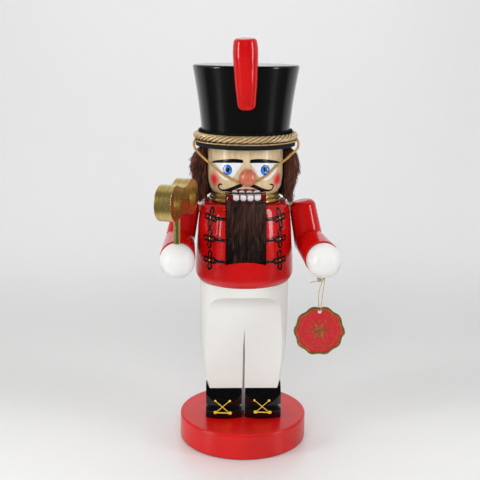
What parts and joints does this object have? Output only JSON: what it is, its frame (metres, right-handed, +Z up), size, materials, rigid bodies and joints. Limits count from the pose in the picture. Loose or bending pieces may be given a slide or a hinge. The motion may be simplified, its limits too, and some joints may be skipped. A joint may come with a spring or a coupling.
{
  "type": "nutcracker figure",
  "caption": "Wooden soldier nutcracker in a tall hat, standing on a round base; the lever at its back opens the jaw, a key turns in one hand and a round tag hangs from the other.",
  "frame": {"origin": "centre of the underside of the round base", "axes": "+Z up through the hat, -Y the way the figure faces, so its right arm with the key is on the -X side"},
  "size_m": [0.1871, 0.1634, 0.4192],
  "materials": {
    "red_lacquer": "gloss red lacquer over wood",
    "white_lacquer": "satin white lacquer over wood",
    "black_lacquer": "gloss black lacquer over wood",
    "gold_paint": "metallic gold paint over wood",
    "head_wood": "clear-lacquered pale wood, with painted features",
    "nose_wood": "tinted, clear-lacquered wood",
    "jaw_wood": "gloss maroon lacquer over wood",
    "dowel_wood": "bare beech",
    "pin_steel": "plain steel",
    "fur": "dark brown long-pile fur",
    "black_textile": "black twill ribbon",
    "gold_cord": "twisted metallic gold cord",
    "tag_card": "printed card with a gold foil edge"
  },
  "bodies": {
    "figure": {"base_disc": "red_lacquer", "leg_dowels": "dowel_wood", "trouser_block": "white_lacquer", "right_shoe": "black_lacquer", "left_shoe": "black_lacquer", "waist_dowels": "dowel_wood", "torso": "red_lacquer", "lever_pin": "pin_steel", "pin_plug": "red_lacquer", "collar_ring": "gold_paint", "neck_dowels": "dowel_wood", "head": "head_wood", "nose_ball": "nose_wood", "hair_wig": "fur", "hat_dowel": "dowel_wood", "hat_brim": "black_textile", "brim_piping": "gold_cord", "hat_crown": "black_lacquer", "hat_band": "black_textile", "hat_rope": "gold_cord", "plume": "red_lacquer", "chin_cord": "gold_cord", "right_upper_arm": "red_lacquer", "left_upper_arm": "red_lacquer", "right_forearm": "red_lacquer", "left_forearm": "red_lacquer", "right_hand": "white_lacquer", "left_hand": "white_lacquer", "shoulder_dowels": "dowel_wood", "hand_dowels": "dowel_wood"},
    "jaw_lever": {"jaw_block": "jaw_wood", "lever_handle": "red_lacquer", "beard": "fur"},
    "key": {"key_stem": "gold_paint", "key_bow": "gold_paint"},
    "thread": {"tag_thread": "gold_cord"},
    "tag": {"hang_tag": "tag_card"}
  },
  "joints": [
    {"name": "jaw_pivot", "type": "hinge", "parent": "figure", "child": "jaw_lever", "pos_m": [0, -0.02, 0.232], "axis": [1, 0, 0], "range_deg": [0, 35]},
    {"name": "key_turn", "type": "hinge", "parent": "figure", "child": "key", "pos_m": [-0.06718, -0.05497, 0.24], "axis": [0, 0, 1], "continuous": true},
    {"name": "thread_swing", "type": "hinge", "parent": "figure", "child": "thread", "pos_m": [0.0738, -0.054, 0.1885], "axis": [1, 0, 0], "range_deg": [-30, 30]},
    {"name": "tag_swing", "type": "hinge", "parent": "thread", "child": "tag", "pos_m": [0.0738, -0.054, 0.15505], "axis": [0, 1, 0], "range_deg": [-20, 20]}
  ]
}
